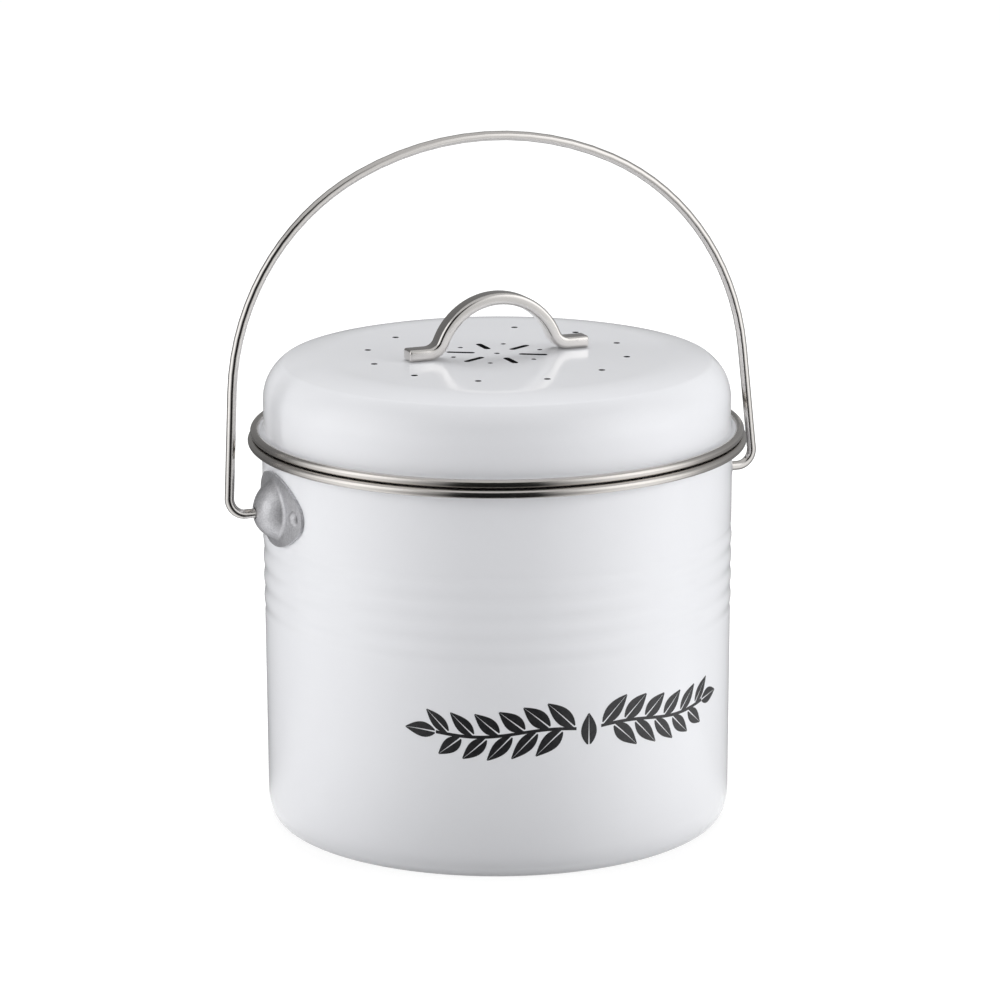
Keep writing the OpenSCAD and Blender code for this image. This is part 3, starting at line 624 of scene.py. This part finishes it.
def stage_piece(name, bm, material):
    """Makes a mesh in metres part of the studio, not of the caddy."""
    mesh = bpy.data.meshes.new(name)
    bm.to_mesh(mesh)
    bm.free()
    mesh.materials.append(material)
    piece = bpy.data.objects.new(name, mesh)
    bpy.context.scene.collection.objects.link(piece)
    return piece


world = bpy.data.worlds.new("studio_light")
bpy.context.scene.world = world
world.use_nodes = True
sky = world.node_tree
background = sky.nodes["Background"]
background.inputs["Color"].default_value = (1, 1, 1, 1)
level = sky.nodes.new("ShaderNodeMapRange")
level.inputs["To Min"].default_value = 0.46
level.inputs["To Max"].default_value = 1.0
sky.links.new(seen_rays(sky), level.inputs["Value"])
sky.links.new(level.outputs["Result"], background.inputs["Strength"])

paper = bpy.data.materials.new("floor_paper")
paper.use_nodes = True
tree = paper.node_tree
tree.nodes.remove(tree.nodes["Principled BSDF"])
matte = tree.nodes.new("ShaderNodeBsdfDiffuse")
place = tree.nodes.new("ShaderNodeTexCoord")
reach = tree.nodes.new("ShaderNodeVectorMath")
reach.operation = "LENGTH"
# The floor's colour darkens from 0.8 to 0.45 towards the caddy's base: painted contact shadow.
painted_contact_shadow = tree.nodes.new("ShaderNodeMapRange")
for socket, value in (("From Min", 0.085), ("From Max", 0.17), ("To Min", 0.45), ("To Max", 0.8)):
    painted_contact_shadow.inputs[socket].default_value = value
tree.links.new(place.outputs["Object"], reach.inputs[0])
tree.links.new(reach.outputs["Value"], painted_contact_shadow.inputs["Value"])
tree.links.new(painted_contact_shadow.outputs["Result"], matte.inputs["Color"])
glow = tree.nodes.new("ShaderNodeEmission")
blend = tree.nodes.new("ShaderNodeMixShader")
tree.links.new(maths(tree, "MULTIPLY", seen_rays(tree), 0.5), blend.inputs["Fac"])
tree.links.new(matte.outputs["BSDF"], blend.inputs[1])
tree.links.new(glow.outputs["Emission"], blend.inputs[2])
tree.links.new(blend.outputs["Shader"], tree.nodes["Material Output"].inputs["Surface"])
glow.inputs["Strength"].default_value = 1.66
ground = bmesh.new()
bmesh.ops.create_circle(ground, cap_ends=True, segments=96, radius=12)
stage_piece("floor", ground, paper)

screen = bpy.data.materials.new("studio_wall")
screen.use_nodes = True
tree = screen.node_tree
tree.nodes.remove(tree.nodes["Principled BSDF"])
spot = tree.nodes.new("ShaderNodeTexCoord")
turned = tree.nodes.new("ShaderNodeMapping")
turned.inputs["Rotation"].default_value = (0, 0, math.radians(CAMERA_TURN))
around = tree.nodes.new("ShaderNodeTexGradient")
around.gradient_type = "RADIAL"
tones = tree.nodes.new("ShaderNodeValToRGB")
tones.color_ramp.elements.remove(tones.color_ramp.elements[1])
tones.color_ramp.elements[0].position = 0
tones.color_ramp.elements[0].color = grey(SCREENS[0][1])
for turn, tone in SCREENS[1:]:
    tones.color_ramp.elements.new(0.5 + turn / 360).color = grey(tone)
lit = tree.nodes.new("ShaderNodeEmission")
parts = tree.nodes.new("ShaderNodeSeparateXYZ")
tree.links.new(spot.outputs["Object"], parts.inputs["Vector"])
above_floor = maths(tree, "GREATER_THAN", parts.outputs["Z"], FLOOR_LAYER_Z + 0.0003)
extra = maths(tree, "MULTIPLY", above_floor, WALL_GLOW - FLOOR_GLOW)
tree.links.new(maths(tree, "ADD", FLOOR_GLOW, extra), lit.inputs["Strength"])
tree.links.new(spot.outputs["Object"], turned.inputs["Vector"])
tree.links.new(turned.outputs["Vector"], around.inputs["Vector"])
tree.links.new(around.outputs["Fac"], tones.inputs["Fac"])
tree.links.new(tones.outputs["Color"], lit.inputs["Color"])
tree.links.new(lit.outputs["Emission"], tree.nodes["Material Output"].inputs["Surface"])
wall = bmesh.new()
hem = bmesh.ops.create_circle(wall, segments=96, radius=STUDIO_R)["verts"]
bmesh.ops.translate(wall, verts=hem, vec=(0, 0, 0.002))
raised = bmesh.ops.extrude_edge_only(wall, edges=wall.edges[:])["geom"]
raised = [part for part in raised if isinstance(part, bmesh.types.BMVert)]
bmesh.ops.translate(wall, verts=raised, vec=(0, 0, STUDIO_H))
outer_hem = bmesh.ops.create_circle(wall, segments=96, radius=STUDIO_R)["verts"]
inner_hem = bmesh.ops.create_circle(wall, segments=96, radius=FLOOR_GAP_R)["verts"]
hems = set(outer_hem) | set(inner_hem)
bmesh.ops.bridge_loops(wall, edges=[edge for edge in wall.edges if hems.issuperset(edge.verts)])
bmesh.ops.translate(wall, verts=list(hems), vec=(0, 0, FLOOR_LAYER_Z))
stage_piece("studio_screens", wall, screen)

overhead, overhead_surface, _ = shader_of("studio_ceiling", (0, 0, 0), 1.0)
overhead_surface.inputs["Emission Color"].default_value = grey(1)
overhead_surface.inputs["Emission Strength"].default_value = CEILING_GLOW
ceiling = bmesh.new()
roof = bmesh.ops.create_circle(ceiling, cap_ends=True, segments=96, radius=STUDIO_R)["verts"]
bmesh.ops.translate(ceiling, verts=roof, vec=(0, 0, STUDIO_H))
stage_piece("studio_ceiling", ceiling, overhead)

for name in ("studio_screens", "studio_ceiling"):
    piece = bpy.data.objects[name]
    piece.visible_camera = piece.visible_diffuse = piece.visible_shadow = False

for name, turn, reach, height, power in (("left_lamp", -75, 1.3, 0.45, 8.7),
                                         ("right_lamp", 75, 1.3, 0.45, 9.7),
                                         ("top_lamp", 180, 0.84, 1.38, 13)):
    lamp = bpy.data.objects.new(name, bpy.data.lights.new(name, "AREA"))
    lamp.data.size = 0.9
    lamp.data.energy = power
    toward = math.radians(turn - CAMERA_TURN)
    lamp.location = (reach * math.cos(toward), reach * math.sin(toward), height)
    aim = Vector((0, 0, 0.12)) - lamp.location
    lamp.rotation_euler = aim.to_track_quat("-Z", "Y").to_euler()
    lamp.visible_glossy = False
    bpy.context.scene.collection.objects.link(lamp)

bpy.context.scene.view_settings.view_transform = "Standard"
